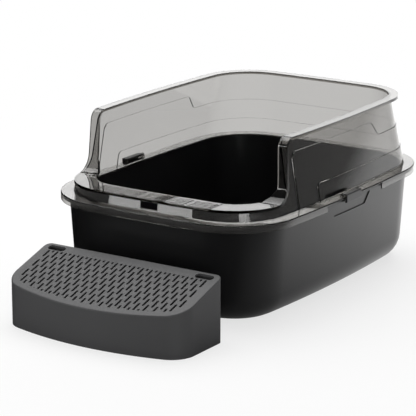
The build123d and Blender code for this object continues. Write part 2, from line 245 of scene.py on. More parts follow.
class LatchSizes(bpy.types.PropertyGroup):
    """Sizes of the side latches and the ears that carry them."""

    length: millimetres("Length", "Length of a latch", 48)
    place: millimetres("Place", "Latch centre along the side", -12)
    thick: millimetres("Thickness", "Thickness of the latch plate", 2.4)
    knuckle: millimetres("Knuckle radius", "Radius of the hinge knuckle", 2.5)
    pin: millimetres("Pin radius", "Radius of the hinge pin", 1.2)
    axis_inset: millimetres("Axis inset", "Hinge axis inside the rim", 6)
    axis_rise: millimetres("Axis rise", "Hinge axis over the flange", 3.2)
    reach: millimetres("Reach", "Plate's distance outside the rim", 1)
    drop: millimetres("Drop", "How far the plate hangs below the flange", 9)
    toe: millimetres("Toe", "How far the toe turns in", 1.2)
    ear_thick: millimetres("Ear thickness", "Thickness of an ear", 3)
    ear_gap: millimetres("Ear gap", "Gap between latch and ear", 0.4)
    ear_radius: millimetres("Ear radius", "Radius of an ear's top", 3.4)


class StepSizes(bpy.types.PropertyGroup):
    """Sizes of the slotted entry step."""

    front_bow: millimetres("Front bow", "How far the front bows out", 29)
    slope: bpy.props.FloatProperty(
        name="Slope", description="Slope of the top", default=radians(17.4), subtype="ANGLE"
    )
    back_z: millimetres("Back height", "Height of the top at the back", 110)
    wall: millimetres("Wall", "Wall thickness", 3)
    rear_radius: millimetres("Rear corners", "Corner radius at the back", 12)
    front_radius: millimetres("Front corners", "Corner radius at the front", 42)
    edge: millimetres("Edge radius", "Round of the top edge", 2)
    slot_length: millimetres("Slot length", "Length of a slot", 19.8)
    slot_width: millimetres("Slot width", "Width of a slot", 4.2)
    slot_corner: millimetres("Slot corner", "Cut corner of a slot", 1.2)
    column_pitch: millimetres("Column pitch", "Distance between columns of slots", 8.6)
    row_pitch: millimetres("Row pitch", "Distance between slots in a column", 28.4)
    margin: millimetres("Margin", "Plain border round the slots", 12)
    hole_length: millimetres("Hole length", "Length of a corner hole", 34)
    hole_width: millimetres("Hole width", "Width of a corner hole", 12)
    hole_inset_x: millimetres("Hole inset across", "Hole centre from the end", 28)
    hole_inset_y: millimetres("Hole inset back", "Hole centre from the back", 12)


class Colours(bpy.types.PropertyGroup):
    """Colours of the mouldings and the studio."""

    tray: colour("Tray", "Black of the tray", (0.008, 0.008, 0.0085))
    smoke: colour("Smoke", "Tint of light through one wall", (0.78, 0.775, 0.765))
    latch: colour("Latch", "Black of the latches", (0.02, 0.02, 0.022))
    step: colour("Step", "Dark grey of the step", (0.064, 0.064, 0.066))
    floor: colour("Floor", "Pale floor", (0.85, 0.85, 0.85))


class StageSizes(bpy.types.PropertyGroup):
    """Floor and lights."""

    floor_radius: bpy.props.FloatProperty(
        name="Floor radius", description="Radius of the floor", default=9.0, unit="LENGTH"
    )
    white_share: bpy.props.FloatProperty(
        name="White share",
        description="How much of plain white the camera sees on the floor",
        default=0.72,
        subtype="FACTOR",
    )
    # Strength of the painted glow at the floor's back right, a painted reflection seen mirrored in the tray
    # and the plastics; the floor is no lamp
    painted_floor_glow: bpy.props.FloatProperty(
        name="Mirrored floor",
        description="Brightness of the back right of the floor in reflections",
        default=1.5,
    )
    mirrored_sky: bpy.props.FloatProperty(
        name="Mirrored sky", description="Brightness of the sky in reflections", default=0.12
    )
    ceiling: bpy.props.FloatProperty(
        name="Ceiling", description="Brightness overhead, as seen through the smoke plastic", default=0.06
    )
    sky: bpy.props.FloatProperty(
        name="Sky", description="Strength of the soft light all round", default=0.35
    )
    key_power: bpy.props.FloatProperty(
        name="Key", description="Power of the large light overhead", default=70.0, unit="POWER"
    )
    strip_power: bpy.props.FloatProperty(
        name="Front strip",
        description="Power of the narrow panel at the front left",
        default=5.0,
        unit="POWER",
    )
    front_power: bpy.props.FloatProperty(
        name="Front panel", description="Power of the panel at the front right", default=9.0, unit="POWER"
    )
    back_power: bpy.props.FloatProperty(
        name="Back panel", description="Power of the panel at the back left", default=12.0, unit="POWER"
    )


GROUPS = {
    "litter_box_rim": RimSizes,
    "litter_box_tray": TraySizes,
    "litter_box_shroud": ShroudSizes,
    "litter_box_latch": LatchSizes,
    "litter_box_step": StepSizes,
    "litter_box_colours": Colours,
    "litter_box_stage": StageSizes,
}


def arc(centre, radius, start, end, steps):
    """Points on an arc, both ends included, as (across, up)."""
    turns = [start + (end - start) * k / steps for k in range(steps + 1)]
    return [(centre[0] + radius * cos(t), centre[1] + radius * sin(t)) for t in turns]


def bowed_ring(half_x, half_y, corner, z):
    """Ring of points on a rounded rectangle with bowed sides, at height z."""
    rim = bpy.context.scene.litter_box_rim
    end_x = half_x - rim.side_bow
    end_y = half_y - rim.end_bow
    side_radius = (end_y**2 + rim.side_bow**2) / (2 * rim.side_bow)
    end_radius = (end_x**2 + rim.end_bow**2) / (2 * rim.end_bow)
    side_centre = Vector((half_x - side_radius, 0))
    end_centre = Vector((0, half_y - end_radius))
    reach = end_centre - side_centre
    to_side = side_radius - corner
    to_end = end_radius - corner
    along = (to_side**2 - to_end**2 + reach.length**2) / (2 * reach.length)
    off = sqrt(to_side**2 - along**2)
    ahead = reach.normalized()
    centre = side_centre + along * ahead + off * Vector((-ahead.y, ahead.x))
    if centre.x < 0 or centre.y < 0:
        centre = side_centre + along * ahead - off * Vector((-ahead.y, ahead.x))
    side_turn = atan2(centre.y - side_centre.y, centre.x - side_centre.x)
    end_turn = atan2(centre.y - end_centre.y, centre.x - end_centre.x)
    quarter = arc(side_centre, side_radius, 0, side_turn, SIDE_STEPS)[:-1]
    quarter += arc(centre, corner, side_turn, end_turn, CORNER_STEPS)[:-1]
    quarter += arc(end_centre, end_radius, end_turn, pi / 2, END_STEPS)
    half = quarter + [(-x, y) for x, y in reversed(quarter[:-1])]
    full = half + [(x, -y) for x, y in reversed(half[1:-1])]
    return [Vector((x, y, z)) for x, y in full]


def rim_ring(inset, z):
    """Ring on the rim's outline, moved in by inset."""
    corner = bpy.context.scene.litter_box_rim.corner
    return bowed_ring(RIM_HALF_X - inset, RIM_HALF_Y - inset, corner - inset, z)


def lip_ring(inset, z):
    """Ring on the top lip's outline, moved in by inset."""
    s = bpy.context.scene.litter_box_shroud
    return bowed_ring(s.lip_half_x - inset, s.lip_half_y - inset, s.lip_corner - inset, z)


def between(low_ring, high_ring, z):
    """Ring at height z on the straight surface between two rings."""
    low_z = low_ring[0].z
    share = (z - low_z) / (high_ring[0].z - low_z)
    return [low.lerp(high, share) for low, high in zip(low_ring, high_ring)]


def wall_ring(inset, z):
    """Ring on the shroud wall's outer face, moved in by inset."""
    s = bpy.context.scene.litter_box_shroud
    foot = rim_ring(s.foot_inset + inset, RIM_Z)
    head = lip_ring(s.lip_width - s.wall + inset, TOP_Z)
    return between(foot, head, z)


def band_outer_ring(inset, z):
    """Ring on the outer edge of the lip and ledge band."""
    s = bpy.context.scene.litter_box_shroud
    return between(rim_ring(s.foot_inset + inset, RIM_Z), lip_ring(inset, TOP_Z), z)


def band_inner_rings(inset, low_z, high_z):
    """Rings on the band's inner edge, from low_z up to high_z."""
    s = bpy.context.scene.litter_box_shroud
    mouth_y = RIM_HALF_Y - s.foot_inset - s.ledge_depth - inset
    corner = s.ledge_corner - inset
    ledge = bowed_ring(s.ledge_half_x - inset, mouth_y, corner, s.ledge_z)
    below = bowed_ring(s.ledge_half_x - inset, mouth_y, corner, low_z)
    lip_y = s.lip_half_y - s.lip_width - inset
    pillar_corner = s.lip_corner - s.lip_width - inset
    pillar = bowed_ring(s.pillar_half_x - inset, lip_y, pillar_corner, s.pillar_wide_z)
    lip = lip_ring(s.lip_width + inset, TOP_Z)
    return [below, ledge, pillar, between(pillar, lip, high_z)]


def deselect():
    """Leaves edit mode and deselects all objects."""
    if bpy.context.object and bpy.context.object.mode != "OBJECT":
        bpy.ops.object.mode_set(mode="OBJECT")
    bpy.ops.object.select_all(action="DESELECT")


def activate(piece):
    """Selects one piece alone."""
    deselect()
    piece.select_set(True)
    bpy.context.view_layer.objects.active = piece


def add_ring(name, points, fill):
    """Adds a circle and puts its points in place."""
    deselect()
    bpy.ops.mesh.primitive_circle_add(vertices=len(points), radius=1, fill_type=fill)
    piece = bpy.context.object
    piece.name = piece.data.name = name
    for vertex, point in zip(piece.data.vertices, points):
        vertex.co = point
    piece.data.update()
    return piece


def sweep(name, rings, closed):
    """Extrudes a ring from place to place; the ends are capped, or meet when closed is set."""
    piece = add_ring(name, rings[0], "NOTHING")
    bpy.ops.object.mode_set(mode="EDIT")
    bpy.ops.mesh.select_all(action="SELECT")
    stops = rings[1:] + rings[:1] if closed else rings[1:]
    for here, ring in zip(rings, stops):
        bpy.ops.mesh.extrude_edges_move()
        mesh = bmesh.from_edit_mesh(piece.data)
        follow = {tuple(point): target for point, target in zip(here, ring)}
        for vertex in [v for v in mesh.verts if v.select]:
            vertex.co = follow[tuple(vertex.co)]
        bmesh.update_edit_mesh(piece.data)
    if closed:
        bpy.ops.mesh.select_all(action="SELECT")
        bpy.ops.mesh.remove_doubles(threshold=WELD)
    else:
        bpy.ops.mesh.select_all(action="DESELECT")
        bpy.ops.mesh.select_non_manifold(extend=False, use_boundary=True)
        bpy.ops.mesh.edge_face_add()
    bpy.ops.mesh.select_all(action="SELECT")
    bpy.ops.mesh.normals_make_consistent(inside=False)
    bpy.ops.object.mode_set(mode="OBJECT")
    return piece


def prism(name, profile, axis, low, high):
    """Solid between low and high along X or Y or Z, from a flat profile of two coordinates."""
    slot = "XYZ".index(axis)
    points = [Vector((*pair[:slot], low, *pair[slot:])) for pair in profile]
    move = Vector((0, 0, 0))
    move[slot] = high - low
    piece = add_ring(name, points, "NGON")
    bpy.ops.object.mode_set(mode="EDIT")
    bpy.ops.mesh.select_all(action="SELECT")
    bpy.ops.mesh.extrude_region_move(TRANSFORM_OT_translate={"value": move})
    bpy.ops.mesh.select_all(action="SELECT")
    bpy.ops.mesh.normals_make_consistent(inside=False)
    bpy.ops.object.mode_set(mode="OBJECT")
    return piece


def rounded(points, radii):
    """A closed profile with its corners rounded; a radius of 0 leaves the corner."""
    made = []
    count = len(points)
    for k, (point, radius) in enumerate(zip(points, radii)):
        here = Vector(point)
        if not radius:
            made.append(tuple(here))
            continue
        back = (Vector(points[k - 1]) - here).normalized()
        ahead = (Vector(points[(k + 1) % count]) - here).normalized()
        half = acos(max(-1, min(1, back.dot(ahead)))) / 2
        middle = (back + ahead).normalized()
        centre = here + middle * (radius / sin(half))
        first = here + back * (radius / tan(half))
        start = atan2(first.y - centre.y, first.x - centre.x)
        last = here + ahead * (radius / tan(half))
        end = atan2(last.y - centre.y, last.x - centre.x)
        turn = (end - start + pi) % (2 * pi) - pi
        made += arc(centre, radius, start, start + turn, ARC_STEPS)
    return made


def combine(piece, tool, operation):
    """Joins, cuts or keeps piece with tool, which is used up."""
    activate(piece)
    modifier = piece.modifiers.new(operation.title(), "BOOLEAN")
    modifier.operation = operation
    modifier.solver = "EXACT"
    modifier.object = tool
    bpy.ops.object.modifier_apply(modifier=modifier.name)
    bpy.data.objects.remove(tool)
    return piece


def join(name, copies):
    """Makes one object of several."""
    deselect()
    for piece in copies:
        piece.select_set(True)
    bpy.context.view_layer.objects.active = copies[0]
    bpy.ops.object.join()
    piece = bpy.context.object
    piece.name = piece.data.name = name
    return piece


def copy_to(piece, move):
    """Copy of a piece with its own mesh, moved in its mesh."""
    twin = piece.copy()
    twin.data = piece.data.copy()
    bpy.context.scene.collection.objects.link(twin)
    for vertex in twin.data.vertices:
        vertex.co += move
    return twin


def soften(piece, width):
    """Rounds the sharp edges with an applied bevel."""
    activate(piece)
    modifier = piece.modifiers.new("Edges", "BEVEL")
    modifier.width = width
    modifier.segments = 2
    modifier.limit_method = "ANGLE"
    modifier.angle_limit = BEVEL_ANGLE
    modifier.use_clamp_overlap = True
    modifier.harden_normals = False
    bpy.ops.object.modifier_apply(modifier=modifier.name)


def finish_piece(piece, node, body, material):
    """Smooths a piece, gives it its material and lets it stand for its CAD node."""
    activate(piece)
    bpy.ops.object.shade_smooth_by_angle(angle=SMOOTH_ANGLE)
    modifier = piece.modifiers.new("Normals", "WEIGHTED_NORMAL")
    modifier.weight = 80
    modifier.keep_sharp = True
    bpy.ops.object.modifier_apply(modifier=modifier.name)
    piece.data.materials.clear()
    piece.data.materials.append(material)
    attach(piece, body)
    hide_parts(node)


class Wire:
    """A node's output that takes part in Python sums."""

    def __init__(self, nodes, socket):
        self.nodes = nodes
        self.socket = socket

    def maths(self, operation, first, second):
        return self.nodes.add("ShaderNodeMath", {"operation": operation}, {0: first, 1: second})

    def __add__(self, other):
        return self.maths("ADD", self, other)

    __radd__ = __add__

    def __sub__(self, other):
        return self.maths("SUBTRACT", self, other)

    def __rsub__(self, other):
        return self.maths("SUBTRACT", other, self)

    def __mul__(self, other):
        return self.maths("MULTIPLY", self, other)

    __rmul__ = __mul__

    def highest(self, other):
        return self.maths("MAXIMUM", self, other)


class Nodes:
    """A material's or world's node tree, emptied to start with."""

    def __init__(self, tree):
        self.tree = tree
        tree.nodes.clear()

    def add(self, kind, settings=None, inputs=None, output=0):
        """Adds a node, sets it up and returns one of its outputs."""
        node = self.tree.nodes.new(kind)
        for name, value in (settings or {}).items():
            setattr(node, name, value)
        for name, value in (inputs or {}).items():
            if isinstance(value, Wire):
                self.tree.links.new(value.socket, node.inputs[name])
            else:
                node.inputs[name].default_value = value
        return Wire(self, node.outputs[output]) if len(node.outputs) else node

    def place(self, kind="Object"):
        """Coordinates of a kind, those in the object unless told otherwise."""
        return self.add("ShaderNodeTexCoord", output=kind)

    def ramp(self, value, start, end, low, high, smooth=True):
        """Low before start and high past end, with a soft or a straight change between."""
        settings = {"interpolation_type": "SMOOTHSTEP" if smooth else "LINEAR"}
        limits = {"From Min": start, "From Max": end, "To Min": low, "To Max": high}
        return self.add("ShaderNodeMapRange", settings, {"Value": value, **limits})

    def along(self, place, way):
        """How far a place lies along a way."""
        settings = {"operation": "DOT_PRODUCT"}
        return self.add("ShaderNodeVectorMath", settings, {0: place, 1: way}, output="Value")

    def glow(self, strength):
        """White light of its own."""
        return self.add("ShaderNodeEmission", {}, {"Color": (1, 1, 1, 1), "Strength": strength})

    def rays(self):
        """Camera, refracted and reflected rays; a refracted one isn't counted as reflected too."""
        path = self.tree.nodes.new("ShaderNodeLightPath")
        names = ("Is Camera Ray", "Is Transmission Ray", "Is Glossy Ray")
        camera, through, glossy = (Wire(self, path.outputs[name]) for name in names)
        return camera, through, glossy * (1 - through)


def new_material(name):
    """A material and its emptied nodes."""
    material = bpy.data.materials.new(name)
    material.use_nodes = True
    return material, Nodes(material.node_tree)


def moulded_plastic(name, tone, roughness, grain, grain_size, wear):
    """Moulded plastic: fine grain, a faint cloudiness in the gloss and rubbed patches."""
    material, nodes = new_material(name)
    place = nodes.place()
    fine = nodes.add(
        "ShaderNodeTexNoise",
        {},
        {"Vector": place, "Scale": 1 / grain_size, "Detail": 3.0, "Roughness": 0.6},
    )
    cloud = nodes.add(
        "ShaderNodeTexNoise", {}, {"Vector": place, "Scale": 9.0, "Detail": 4.0, "Roughness": 0.55}
    )
    mixed = nodes.add(
        "ShaderNodeMix",
        {"data_type": "RGBA"},
        {
            MIX_FACTOR: cloud * 0.5 + 0.25,
            MIX_FIRST: (*[c * 0.86 for c in tone], 1),
            MIX_SECOND: (*[c * 1.14 for c in tone], 1),
        },
        output=MIX_RESULT,
    )
    bump = nodes.add("ShaderNodeBump", {}, {"Strength": grain, "Distance": 0.0002, "Height": fine})
    shader = nodes.add(
        "ShaderNodeBsdfPrincipled",
        {},
        {
            "Base Color": mixed,
            "Roughness": roughness + wear * (cloud - 0.5),
            "Normal": bump,
            "IOR": PLASTIC_IOR,
        },
    )
    nodes.add("ShaderNodeOutputMaterial", {}, {"Surface": shader})
    return material


def smoke_plastic(name, tint):
    """Clear smoke plastic, polished, with a faint ripple of the moulding."""
    material, nodes = new_material(name)
    cloud = nodes.add(
        "ShaderNodeTexNoise",
        {},
        {"Vector": nodes.place(), "Scale": 7.0, "Detail": 3.0, "Roughness": 0.5},
    )
    bump = nodes.add("ShaderNodeBump", {}, {"Strength": 0.003, "Distance": 0.0005, "Height": cloud})
    shader = nodes.add(
        "ShaderNodeBsdfPrincipled",
        {},
        {
            "Base Color": (*tint, 1),
            "Roughness": 0.004 + 0.01 * cloud,
            "Normal": bump,
            "IOR": PLASTIC_IOR,
            "Transmission Weight": 1.0,
        },
    )
    depth = nodes.add("ShaderNodeVolumeAbsorption", {}, {"Color": SMOKE_HUE, "Density": SMOKE_DENSITY})
    nodes.add("ShaderNodeOutputMaterial", {}, {"Surface": shader, "Volume": depth})
    return material


def profile_under_entry(depth):
    """Side view of the band's top line, lowered by depth, from the back to the front."""
    s = bpy.context.scene.litter_box_shroud
    points = [
        (PAST_ENTRY, TOP_Z - depth),
        (s.pillar_top_y + depth, TOP_Z - depth),
        (s.pillar_foot_y + depth, s.ledge_z - depth),
        (-PAST_ENTRY, s.ledge_z - depth),
        (-PAST_ENTRY, 0),
        (PAST_ENTRY, 0),
    ]
    radii = [0, s.pillar_top_radius - depth, s.pillar_foot_radius + depth, 0, 0, 0]
    return rounded(points, radii)


def under_entry(depth):
    """Solid below the band's top line, lowered by depth."""
    return prism("under entry", profile_under_entry(depth), "X", *ACROSS)


def slab_under_entry(depth):
    """Curved plate from the band's top line down to depth."""
    top = profile_under_entry(0)[:-2]
    low = profile_under_entry(depth)[:-2]
    return prism("entry slab", top + low[::-1], "X", *ACROSS)


class MakeTray(bpy.types.Operator):
    """Builds the deep black tray"""

    bl_idname = "litter_box.tray"
    bl_label = "Tray"

    def execute(self, context):
        t = context.scene.litter_box_tray
        top = TRAY_HIGH.z
        lean = tan(t.draft)

        def inset_at(z, extra):
            """Inset of the leaning wall at height z."""
            return t.wall_inset + extra + (RIM_Z - z) * lean

        def bowl(extra, floor_z, radius):
            """Insets and heights up the round bottom edge."""
            centre = inset_at(floor_z, extra) + radius / tan((pi / 2 + t.draft) / 2)
            turns = [(pi / 2 - t.draft) * k / ARC_STEPS for k in range(ARC_STEPS + 1)]
            return [(centre - radius * sin(a), floor_z + radius * (1 - cos(a))) for a in turns]

        under = top - t.rim_thick
        foot = top - t.lip_depth
        soft = TRAY_EDGE
        nick = 0.3 * TRAY_EDGE
        inner_lip = t.rim_inset + t.lip_thick
        edge = inset_at(top, t.wall)
        profile = bowl(0, 0, t.bottom_radius)
        profile += [(inset_at(under, 0), under), (inner_lip, under), (inner_lip, foot)]
        profile += [(t.rim_inset, foot), (t.rim_inset, top - soft)]
        profile += [(t.rim_inset + nick, top - nick), (t.rim_inset + soft, top)]
        profile += [(edge - soft, top), (edge - nick, top - nick), (edge, top - soft)]
        profile += bowl(t.wall, t.wall, t.bottom_radius - t.wall)[::-1]
        tray = sweep("tray", [rim_ring(inset, z) for inset, z in profile], False)

        skin_foot = 50 * MM
        skin_edges = [(-t.wall, top), (-t.wall, skin_foot), (t.grip_depth, skin_foot), (t.grip_depth, top)]
        skin = sweep("skin", [rim_ring(inset_at(z, extra), z) for extra, z in skin_edges], True)
        high = RIM_Z - t.grip_drop
        low = high - t.grip_height
        corners = [
            (t.grip_place - t.grip_top, high),
            (t.grip_place + t.grip_top, high),
            (t.grip_place + t.grip_bottom, low),
            (t.grip_place - t.grip_bottom, low),
        ]
        radii = [GRIP_TOP_ROUND, GRIP_TOP_ROUND, GRIP_FOOT_ROUND, GRIP_FOOT_ROUND]
        combine(skin, prism("grip", rounded(corners, radii), "X", *ACROSS), "INTERSECT")
        combine(tray, skin, "DIFFERENCE")
        tone = context.scene.litter_box_colours.tray
        black = moulded_plastic(
            "tray black", tone, roughness=0.3, grain=0.12, grain_size=1.2 * MM, wear=0.08
        )
        finish_piece(tray, "tray", "tray", black)
        return {"FINISHED"}


class MakeShroud(bpy.types.Operator):
    """Builds the clear smoke shroud"""

    bl_idname = "litter_box.shroud"
    bl_label = "Shroud"

    def wall(self, s):
        """The leaning wall, all round and past the top."""
        low, high = RIM_Z - s.skirt_thick / 2, TOP_Z + s.wall
        rings = [wall_ring(0, low), wall_ring(0, high), wall_ring(s.wall, high), wall_ring(s.wall, low)]
        return sweep("shroud", rings, True)

    def step_out(self, shroud, s, out, zone):
        """Moves the wall out inside a zone, at the same thickness."""
        low, high = RIM_Z - s.skirt_thick / 2, TOP_Z
        inner = s.wall - out
        rings = [wall_ring(-out, low), wall_ring(-out, high), wall_ring(inner, high), wall_ring(inner, low)]
        panel = combine(sweep("panel", rings, True), zone(s, PANEL_LAP), "INTERSECT")
        combine(shroud, zone(s, 0), "DIFFERENCE")
        combine(shroud, panel, "UNION")

    def upper_zone(self, s, grow):
        """Side view of the tall relief panel, grown outward, as a tool."""
        back_z = s.upper_back_z + grow
        points = [
            (s.upper_front_y - grow, 0),
            (s.upper_front_y - grow, s.upper_top_z + grow),
            (s.upper_drop_y + grow, s.upper_top_z + grow),
            (s.upper_drop_y + s.upper_drop_run + grow, back_z),
            (PAST_BACK, back_z),
            (PAST_BACK, 0),
        ]
        r = s.upper_radius
        return prism("zone", rounded(points, [0, r, r, r, 0, 0]), "X", *ACROSS)

    def lower_zone(self, s, grow):
        """Side view of the low relief panel, grown outward, as a tool."""
        front, top = s.lower_front_y - grow, s.lower_top_z + grow
        points = [(front, 0), (front, top), (PAST_BACK, top), (PAST_BACK, 0)]
        return prism("zone", rounded(points, [0, s.lower_radius, 0, 0]), "X", *ACROSS)

    def band(self, s):
        """The lip, pillars and ledge as one curved band, as deep as its turned-down edge."""
        low, high = RIM_Z + s.skirt_thick, TOP_Z + s.wall
        outer = [band_outer_ring(0, z) for z in (low, high)]
        ring = sweep("band", outer + band_inner_rings(0, low, high)[::-1], True)
        return combine(ring, slab_under_entry(s.bead_depth), "INTERSECT")

    def flange(self, s):
        """Flange and skirt, with a rounded top edge."""
        r = s.skirt_round
        foot = RIM_Z - s.skirt_height
        under = RIM_Z - s.skirt_thick
        turns = [pi / 2 * k / 4 for k in range(5)]
        profile = [(0, foot)]
        profile += [(r - r * cos(a), RIM_Z - r + r * sin(a)) for a in turns]
        inner = s.foot_inset + s.wall
        profile += [(inner, RIM_Z), (inner, under), (s.skirt_thick, under), (s.skirt_thick, foot)]
        ring = sweep("flange", [rim_ring(inset, z) for inset, z in profile], True)
        half = s.skirt_cutout / 2
        box = [(-half, foot - r), (half, foot - r), (half, under), (-half, under)]
        return combine(ring, prism("cutout", box, "X", *ACROSS), "DIFFERENCE")

    def pad(self, s):
        """Tread pad with its groups of round-ended ribs."""
        low, high = s.ledge_z - s.wall / 2, s.ledge_z + s.pad_height
        outer = s.foot_inset - s.pad_overhang
        inner_x = s.ledge_half_x + PAD_MOUTH
        inner_y = RIM_HALF_Y - s.foot_inset - s.ledge_depth + PAD_MOUTH
        rings = [rim_ring(outer, low), rim_ring(outer, high)]
        rings += [bowed_ring(inner_x, inner_y, s.ledge_corner + PAD_MOUTH, z) for z in (high, low)]
        pad = sweep("pad", rings, True)
        half = s.pad_half_x
        front, back = -400 * MM, -100 * MM
        area = [(-half, front), (half, front), (half, back), (-half, back)]
        combine(pad, prism("area", area, "Z", 0, 400 * MM), "INTERSECT")
        pitch = 2 * half / s.rib_groups
        reach = (pitch - s.rib_gap - s.rib_width) / 2
        r = s.rib_width / 2
        plan = arc((reach, 0), r, -pi / 2, pi / 2, RIB_END_STEPS)
        plan += arc((-reach, 0), r, pi / 2, 3 * pi / 2, RIB_END_STEPS)
        front_y = RIM_HALF_Y - s.foot_inset + s.pad_overhang
        middle_y = -(front_y - (s.ledge_depth + s.pad_overhang) / 2)
        first = prism("rib", plan, "Z", high - s.pad_height / 2, high + s.rib_height)
        ribs = []
        for group in range(s.rib_groups):
            x = (group - (s.rib_groups - 1) / 2) * pitch
            for rib in range(s.ribs_per_group):
                y = middle_y + (rib - (s.ribs_per_group - 1) / 2) * s.rib_pitch
                ribs.append(copy_to(first, Vector((x, y, 0))))
        bpy.data.objects.remove(first)
        return combine(pad, join("ribs", ribs), "UNION")

    def ears(self, s, size):
        """Two drilled ears on the flange at each side."""
        axis_z = RIM_Z + size.axis_rise
        r = size.ear_radius
        foot = RIM_Z - s.skirt_thick / 2
        half = size.ear_thick / 2
        made = []
        for side in (-1, 1):
            x = side * (RIM_HALF_X - size.axis_inset)
            profile = arc((x, axis_z), r, 0, pi, EAR_STEPS) + [(x - r, foot), (x + r, foot)]
            for end in (-1, 1):
                y = size.place + end * (size.length / 2 + size.ear_gap + half)
                made.append(prism("ear", profile, "Y", y - half, y + half))
        ears = join("ears", made)
        for side in (-1, 1):
            x = side * (RIM_HALF_X - size.axis_inset)
            bore = arc((x, axis_z), size.pin + PIN_CLEARANCE, 0, 2 * pi, BORE_STEPS)[:-1]
            tool = prism("hole", bore, "Y", size.place - size.length, size.place + size.length)
            combine(ears, tool, "DIFFERENCE")
        return ears

    def execute(self, context):
        s = context.scene.litter_box_shroud
        shroud = self.wall(s)
        self.step_out(shroud, s, s.relief_step, self.upper_zone)
        self.step_out(shroud, s, 2 * s.relief_step, self.lower_zone)
        combine(shroud, under_entry(s.wall / 2), "INTERSECT")
        combine(shroud, self.band(s), "UNION")
        combine(shroud, self.flange(s), "UNION")
        combine(shroud, self.pad(s), "UNION")
        combine(shroud, self.ears(s, context.scene.litter_box_latch), "UNION")
        half = s.slot_length / 2
        low = RIM_Z + s.slot_sill
        high = low + s.slot_height
        slot = rounded([(-half, low), (half, low), (half, high), (-half, high)], [FINGER_SLOT_ROUND] * 4)
        front = s.foot_inset - RIM_HALF_Y
        combine(shroud, prism("slot", slot, "Y", front - 20 * MM, front + 12 * MM), "DIFFERENCE")
        smoke = smoke_plastic("clear smoke", context.scene.litter_box_colours.smoke)
        finish_piece(shroud, "shroud", "shroud", smoke)
        return {"FINISHED"}


class MakeLatches(bpy.types.Operator):
    """Builds the two side latches"""

    bl_idname = "litter_box.latches"
    bl_label = "Latches"

    def execute(self, context):
        size = context.scene.litter_box_latch
        tone = context.scene.litter_box_colours.latch
        black = moulded_plastic(
            "latch black", tone, roughness=0.35, grain=0.2, grain_size=0.8 * MM, wear=0.06
        )
        axis_x, axis_z = RIM_HALF_X - size.axis_inset, RIM_Z + size.axis_rise
        inner_x = RIM_HALF_X + size.reach
        outer_x = inner_x + size.thick
        toe_x = RIM_HALF_X - size.toe
        top_z = axis_z + size.knuckle
        under_z = top_z - size.thick
        low_z = RIM_Z - size.drop
        points = [(axis_x, top_z), (outer_x, top_z), (outer_x, low_z), (toe_x, low_z)]
        points += [(toe_x, low_z + size.thick), (inner_x, low_z + size.thick)]
        points += [(inner_x, under_z), (axis_x + size.knuckle, under_z)]
        radii = [0, 0.8 * size.thick, LATCH_CORNER, LATCH_CORNER]
        radii += [LATCH_EDGE, LATCH_EDGE, LATCH_CORNER, 0]
        knuckle = arc((axis_x, axis_z), size.knuckle, 0, -3 * pi / 2, KNUCKLE_STEPS)[1:-1]
        right = rounded(points, radii) + knuckle
        half = size.length / 2
        reach = half + size.ear_gap + size.ear_thick
        for side, node in ((-1, "left_latch"), (1, "right_latch")):
            profile = [(side * x, z) for x, z in right]
            latch = prism(node, profile, "Y", size.place - half, size.place + half)
            soften(latch, LATCH_EDGE)
            bar = arc((side * axis_x, axis_z), size.pin, 0, 2 * pi, BORE_STEPS)[:-1]
            combine(latch, prism("pin", bar, "Y", size.place - reach, size.place + reach), "UNION")
            finish_piece(latch, node, node, black)
        return {"FINISHED"}


